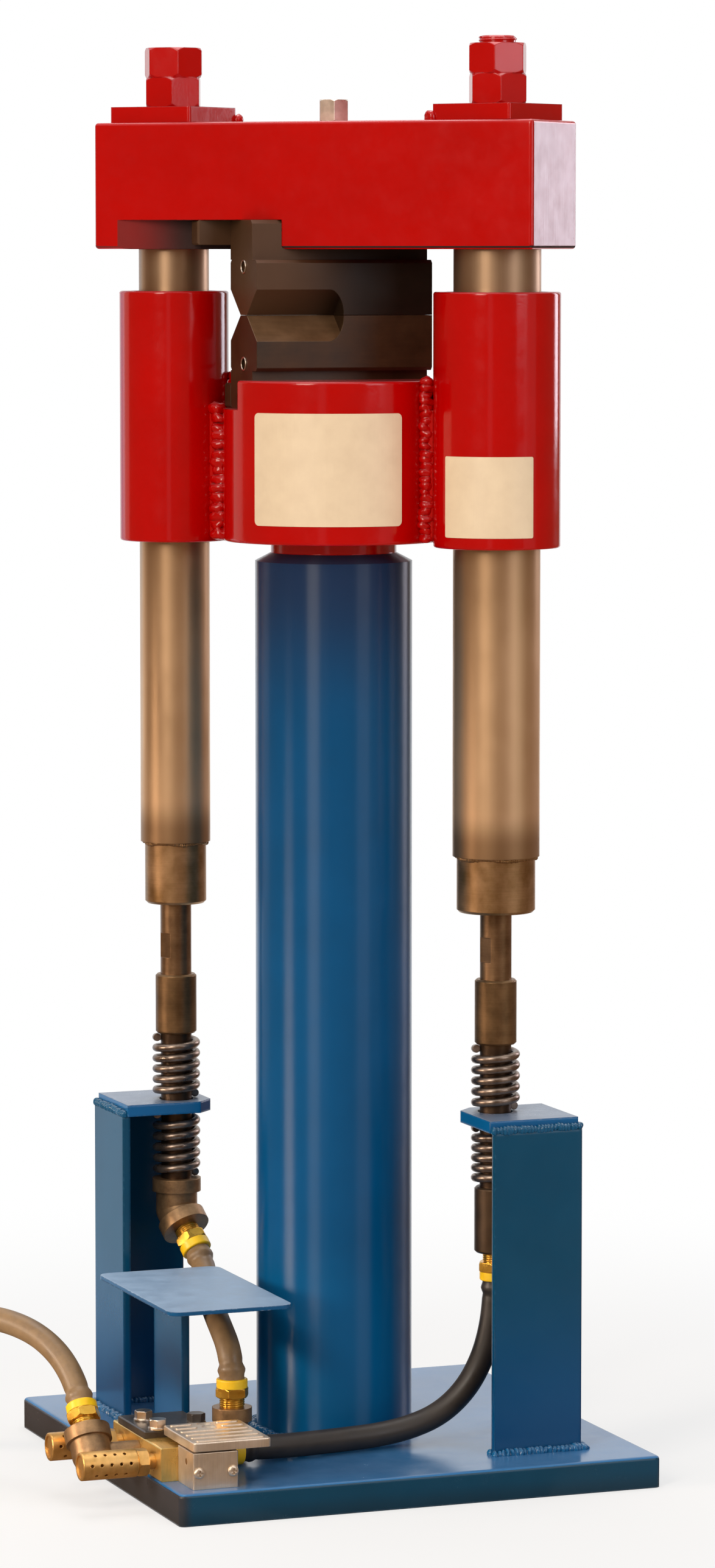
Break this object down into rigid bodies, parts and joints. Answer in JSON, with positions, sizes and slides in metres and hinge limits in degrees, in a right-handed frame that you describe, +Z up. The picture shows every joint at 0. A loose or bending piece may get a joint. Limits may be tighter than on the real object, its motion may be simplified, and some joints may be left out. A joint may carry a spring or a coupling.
{
  "type": "pneumatic power hammer",
  "caption": "Free-standing pneumatic power hammer: paired air cylinders drive a crosshead with a die down onto an anvil column, worked by a guarded foot valve.",
  "frame": {"origin": "centre of the base plate's underside, on the floor", "axes": "+X right along the base's front edge, +Y towards the back, +Z up"},
  "size_m": [0.5805, 0.4585, 1.1547],
  "materials": {
    "red_paint": "gloss enamel",
    "blue_paint": "gloss enamel",
    "ground_steel": "ground and polished",
    "red_stud": "gloss enamel",
    "dark_die_steel": "black oxide",
    "oiled_steel": "oiled",
    "spring_steel": "oil hardened",
    "malleable_iron": "as cast",
    "brass": "machined",
    "bronze": "sintered",
    "yellow_plastic": "moulded",
    "hose_rubber": "satin",
    "machined_aluminium": "milled",
    "zinc_steel": "zinc plated"
  },
  "bodies": {
    "frame": {"base_plate": "blue_paint", "anvil_column": "blue_paint", "anvil_cap": "red_paint", "left_guide_sleeve": "red_paint", "right_guide_sleeve": "red_paint", "guide_bushes": "bronze", "sleeve_welds": "red_paint", "lower_die": "dark_die_steel", "lower_die_key": "dark_die_steel", "left_stand": "blue_paint", "right_stand": "blue_paint", "stand_plates": "blue_paint", "left_upper_spring": "spring_steel", "left_lower_spring": "spring_steel", "right_upper_spring": "spring_steel", "right_lower_spring": "spring_steel", "pedal_guard_post": "blue_paint", "pedal_guard_plate": "blue_paint", "valve_body": "brass", "spool_spring": "spring_steel", "actuator_block": "machined_aluminium", "actuator_screws": "zinc_steel", "pedal_pin": "ground_steel", "valve_clamp_plate": "dark_die_steel", "clamp_bolts": "zinc_steel", "mufflers": "bronze", "inlet_elbow": "malleable_iron", "outlet_elbow": "malleable_iron", "hose_fittings": "brass", "hose_rings": "yellow_plastic", "left_hose": "hose_rubber", "right_hose": "hose_rubber", "supply_hose": "hose_rubber", "supply_end_fitting": "brass"},
    "ram": {"crosshead": "red_paint", "left_cylinder_tube": "ground_steel", "right_cylinder_tube": "ground_steel", "tube_heads": "red_stud", "left_gland": "oiled_steel", "right_gland": "oiled_steel", "rod_seals": "hose_rubber", "crosshead_washers": "red_paint", "crosshead_nuts": "red_paint", "upper_die": "dark_die_steel", "upper_die_key": "dark_die_steel", "upper_die_bolt": "zinc_steel"},
    "left_rod": {"left_piston_rod": "ground_steel", "left_piston": "oiled_steel", "left_upper_coupling": "oiled_steel", "left_lower_elbow": "malleable_iron", "left_hose_fitting": "brass", "left_hose_ring": "yellow_plastic"},
    "right_rod": {"right_piston_rod": "ground_steel", "right_piston": "oiled_steel", "right_upper_coupling": "oiled_steel", "right_lower_coupling": "oiled_steel", "right_hose_fitting": "brass", "right_hose_ring": "yellow_plastic"},
    "pedal": {"pedal": "machined_aluminium"},
    "spool": {"valve_spool": "machined_aluminium"}
  },
  "joints": [
    {"name": "ram_slide", "type": "slide", "parent": "frame", "child": "ram", "axis": [0, 0, 1], "range_m": [0, 0.19]},
    {"name": "left_rod_float", "type": "slide", "parent": "frame", "child": "left_rod", "axis": [0, 0, 1], "range_m": [-0.008, 0.008], "stiffness_N_per_m": 60000, "deforming": ["left_upper_spring", "left_lower_spring", "left_hose"]},
    {"name": "right_rod_float", "type": "slide", "parent": "frame", "child": "right_rod", "axis": [0, 0, 1], "range_m": [-0.008, 0.008], "stiffness_N_per_m": 60000, "deforming": ["right_upper_spring", "right_lower_spring", "right_hose"]},
    {"name": "pedal_hinge", "type": "hinge", "parent": "frame", "child": "pedal", "pos_m": [-0.1695, -0.173, 0.045], "axis": [1, 0, 0], "range_deg": [-3, 0], "stiffness_Nm_per_rad": 6, "springref_deg": 1.72},
    {"name": "spool_slide", "type": "slide", "parent": "frame", "child": "spool", "axis": [0, 1, 0], "range_m": [-0.0006, 0.0001]}
  ],
  "couplings": [
    {"joint": "spool_slide", "follows": "pedal_hinge", "m_per_rad": 0.0063}
  ]
}
